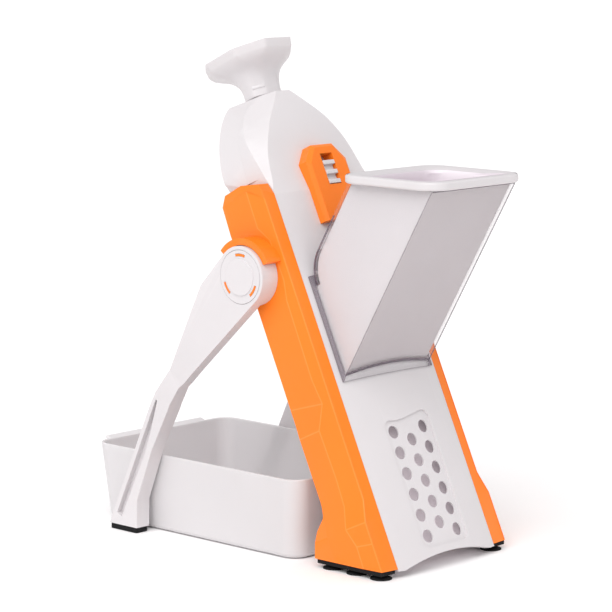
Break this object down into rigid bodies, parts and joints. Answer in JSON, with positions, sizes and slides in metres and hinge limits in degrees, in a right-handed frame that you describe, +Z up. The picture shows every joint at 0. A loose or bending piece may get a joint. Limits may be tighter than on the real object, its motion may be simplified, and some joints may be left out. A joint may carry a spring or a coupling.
{
  "type": "mandoline slicer",
  "caption": "Upright press-down mandoline slicer: leaning ribbed-rail body, feed chute with pusher, fold-out rear legs, catch tray, press knob with lock.",
  "frame": {"origin": "On the table, in the middle of the whole object's footprint at rest.", "axes": "+Z is up, -Y is the side the food goes in and +Y the side where the tray pulls out; X = 0 is the plane of symmetry."},
  "size_m": [0.1724, 0.3306, 0.3723],
  "materials": {
    "white_plastic": "satin moulded",
    "orange_plastic": "satin moulded",
    "black_rubber": "matte",
    "inner_plastic": "fine matte moulded",
    "clear_plastic": "clear polished",
    "frosted_plastic": "milky translucent",
    "blade_steel": "ground",
    "plated_steel": "bright plated"
  },
  "bodies": {
    "body": {"front_panel": "white_plastic", "rear_cover": "white_plastic", "cover_screws": "plated_steel", "left_rail": "orange_plastic", "right_rail": "orange_plastic", "hub_cap_left": "white_plastic", "hub_cap_right": "white_plastic", "rail_pad_left": "black_rubber", "rail_pad_right": "black_rubber", "suction_cups_left": "black_rubber", "suction_cups_right": "black_rubber", "lock_plate": "orange_plastic", "chute": "clear_plastic", "return_spring_left": "plated_steel", "return_spring_right": "plated_steel"},
    "handle": {"handle_rod": "inner_plastic", "handle_knob": "white_plastic", "knob_cap": "white_plastic", "blade_carrier": "inner_plastic", "landing_plate": "inner_plastic", "v_blade": "blade_steel", "blade_screws": "plated_steel"},
    "thickness": {"thickness_plate": "inner_plastic"},
    "dial": {"thickness_dial": "orange_plastic", "dial_shaft": "blade_steel"},
    "comb": {"comb_bar": "inner_plastic", "comb_blades": "blade_steel"},
    "pusher": {"food_pusher": "white_plastic"},
    "lock": {"lock_slider": "white_plastic"},
    "leg_left": {"leg_left": "white_plastic", "leg_foot_left": "black_rubber"},
    "leg_right": {"leg_right": "white_plastic", "leg_foot_right": "black_rubber"},
    "tray": {"tray": "frosted_plastic"}
  },
  "joints": [
    {"name": "handle_raise", "type": "slide", "parent": "body", "child": "handle", "axis": [0, 0.4258, 0.9048], "range_m": [0, 0.088], "deforming": ["return_spring_left", "return_spring_right"]},
    {"name": "thickness_slide", "type": "slide", "parent": "handle", "child": "thickness", "axis": [0, 0.9048, -0.4258], "range_m": [0, 0.006]},
    {"name": "dial_turn", "type": "hinge", "parent": "handle", "child": "dial", "pos_m": [0, -0.07854, 0.07621], "axis": [0, 0.9048, -0.4258], "range_deg": [0, 270]},
    {"name": "comb_extend", "type": "slide", "parent": "handle", "child": "comb", "axis": [0, -0.9048, 0.4258], "range_m": [0, 0.0035]},
    {"name": "pusher_slide", "type": "slide", "parent": "body", "child": "pusher", "axis": [0, -0.4955, 0.8686], "range_m": [0, 0.15]},
    {"name": "lock_slide", "type": "slide", "parent": "body", "child": "lock", "axis": [0, 0.4258, 0.9048], "range_m": [0, 0.005]},
    {"name": "leg_left_fold", "type": "hinge", "parent": "body", "child": "leg_left", "pos_m": [-0.0727, -0.00878, 0.20496], "axis": [-1, 0, 0], "range_deg": [0, 55]},
    {"name": "leg_right_fold", "type": "hinge", "parent": "body", "child": "leg_right", "pos_m": [0.0727, -0.00878, 0.20496], "axis": [-1, 0, 0], "range_deg": [0, 55]},
    {"name": "tray_slide", "type": "slide", "parent": "body", "child": "tray", "axis": [0, 1, 0], "range_m": [0, 0.2]}
  ],
  "couplings": [
    {"joint": "dial_turn", "follows": "thickness_slide", "rad_per_m": 785.4}
  ]
}
